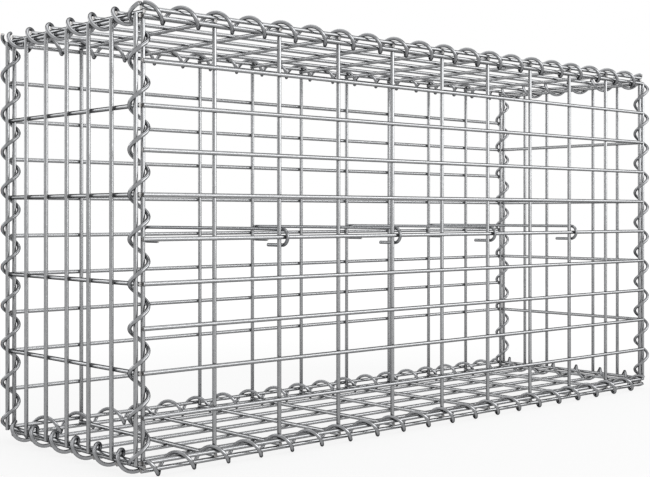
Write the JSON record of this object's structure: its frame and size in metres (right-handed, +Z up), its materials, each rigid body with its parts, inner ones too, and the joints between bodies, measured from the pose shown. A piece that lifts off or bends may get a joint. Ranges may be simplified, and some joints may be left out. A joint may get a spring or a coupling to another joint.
{
  "type": "empty gabion basket",
  "caption": "Empty welded-mesh gabion basket with lid, laced along its edges by spiral binders and held front to back by hooked cross ties.",
  "frame": {"origin": "on the ground, under the middle of the basket's box", "axes": "+X along the basket, -Y to the front, +Z up"},
  "size_m": [1.0376, 0.3312, 0.5343],
  "materials": {
    "mesh_wire": "galvanised, satin",
    "spiral_wire": "galvanised, satin",
    "tie_wire": "galvanised, satin"
  },
  "bodies": {
    "root": {"back_panel": "mesh_wire", "base_panel": "mesh_wire", "cross_tie_1": "tie_wire", "cross_tie_2": "tie_wire", "cross_tie_3": "tie_wire", "cross_tie_4": "tie_wire", "front_panel": "mesh_wire", "left_end_panel": "mesh_wire", "lid_panel": "mesh_wire", "right_end_panel": "mesh_wire", "spiral_back_bottom": "spiral_wire", "spiral_back_left": "spiral_wire", "spiral_back_right": "spiral_wire", "spiral_back_top": "spiral_wire", "spiral_front_bottom": "spiral_wire", "spiral_front_left": "spiral_wire", "spiral_front_right": "spiral_wire", "spiral_front_top": "spiral_wire", "spiral_left_bottom": "spiral_wire", "spiral_left_top": "spiral_wire", "spiral_right_bottom": "spiral_wire", "spiral_right_top": "spiral_wire"}
  },
  "joints": []
}
